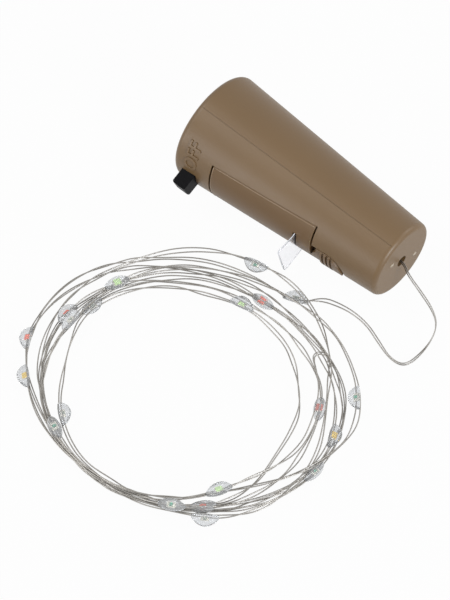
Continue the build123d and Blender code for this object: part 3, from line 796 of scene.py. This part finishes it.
def film_grid(bm, side):
    grid = []
    for n in range(film_rows + 1):
        row = []
        for k in range(film_columns + 1):
            row.append(bm.verts.new(film_place(n / film_rows, -1 + 2 * k / film_columns, side)))
        grid.append(row)
    for a, b in zip(grid, grid[1:]):
        for k in range(film_columns):
            bm.faces.new((a[k], a[k + 1], b[k + 1], b[k]))
    return grid


def grid_rim(grid):
    """The points round a grid's edge, in order."""
    rim = grid[0] + [row[-1] for row in grid[1:]] + list(reversed(grid[-1][:-1]))
    return rim + [row[0] for row in reversed(grid[1:-1])]


def make_film_tab():
    bm = bmesh.new()
    front, back = (grid_rim(film_grid(bm, side)) for side in (1, -1))
    count = len(front)
    for n in range(count):
        m = (n + 1) % count
        bm.faces.new((front[n], front[m], back[m], back[n]))
    piece = to_object(bm, "film_tab", film)
    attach(piece, "case")
    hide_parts("pull_tab")


def make_film_rim():
    """The film's cut edge, which scatters light and so shows pale."""
    way_out = 1 - film_rim_start_share
    shares = [film_rim_start_share + way_out * n / film_rows for n in range(film_rows + 1)]
    centres = [film_place(share, 1, 0) for share in shares]
    centres += [film_place(1, 1 - 2 * k / film_columns, 0) for k in range(1, film_columns)]
    centres += [film_place(share, -1, 0) for share in reversed(shares)]
    bm = bmesh.new()
    tube(bm, centres, film_rim_radius * mm, wire_sides)
    piece = to_object(bm, "film_rim", film_rim)
    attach(piece, "case")


# Floor, light and air
def seen_rays(nodes, links):
    """An output that is 1 for rays from the camera, through clear pieces or off glossy ones."""
    rays = nodes.new("ShaderNodeLightPath")
    seen = rays.outputs["Is Camera Ray"]
    for kind in ("Is Transmission Ray", "Is Glossy Ray"):
        either = nodes.new("ShaderNodeMath")
        either.operation = "MAXIMUM"
        links.new(seen, either.inputs[0])
        links.new(rays.outputs[kind], either.inputs[1])
        seen = either.outputs[0]
    return seen


def make_floor_material():
    material = bpy.data.materials.new("floor")
    material.use_nodes = True
    nodes = material.node_tree.nodes
    links = material.node_tree.links
    shader = nodes["Principled BSDF"]
    shader.inputs["Base Color"].default_value = floor_grey
    shader.inputs["Roughness"].default_value = floor_roughness
    shader.inputs["Specular IOR Level"].default_value = floor_shine
    glow = nodes.new("ShaderNodeEmission")
    glow.inputs["Color"].default_value = white
    part = nodes.new("ShaderNodeMath")
    part.operation = "MULTIPLY"
    part.inputs[1].default_value = floor_white_share
    blend = nodes.new("ShaderNodeMixShader")
    links.new(seen_rays(nodes, links), part.inputs[0])
    links.new(part.outputs[0], blend.inputs[0])
    links.new(shader.outputs[0], blend.inputs[1])
    links.new(glow.outputs[0], blend.inputs[2])
    links.new(blend.outputs[0], nodes["Material Output"].inputs["Surface"])
    return material


def make_floor():
    bm = bmesh.new()
    corners = ((-1, -1), (1, -1), (1, 1), (-1, 1))
    bm.faces.new([bm.verts.new((x * floor_half, y * floor_half, 0)) for x, y in corners])
    floor = to_object(bm, "floor", make_floor_material(), smooth=False)
    floor.location.z = -floor_drop * mm


def make_air():
    world = bpy.data.worlds.new("air")
    bpy.context.scene.world = world
    world.use_nodes = True
    nodes = world.node_tree.nodes
    links = world.node_tree.links
    back = nodes["Background"]
    back.inputs["Color"].default_value = white
    level = nodes.new("ShaderNodeMapRange")
    level.inputs["To Min"].default_value = air_light
    level.inputs["To Max"].default_value = 1
    links.new(seen_rays(nodes, links), level.inputs["Value"])
    links.new(level.outputs["Result"], back.inputs["Strength"])


def make_lamp(name, place, target, size, power, tint):
    data = bpy.data.lights.new(name, "AREA")
    data.color = tint
    data.shape = "DISK"
    data.size = size
    data.energy = power
    obj = scene_link(bpy.data.objects.new(name, data))
    obj.location = place
    obj.rotation_euler = (Vector(target) - Vector(place)).to_track_quat("-Z", "Y").to_euler()


# The camera and the string come first
make_camera()
make_light_string()
for text, angles in word_angles.items():
    make_word(text, *angles)
make_gate_marks()
make_door_rim()
make_film_tab()
make_film_rim()
dress_nodes()
make_floor()
make_air()
for lamp in lamps:
    make_lamp(*lamp)
bpy.context.scene.view_settings.view_transform = "Standard"
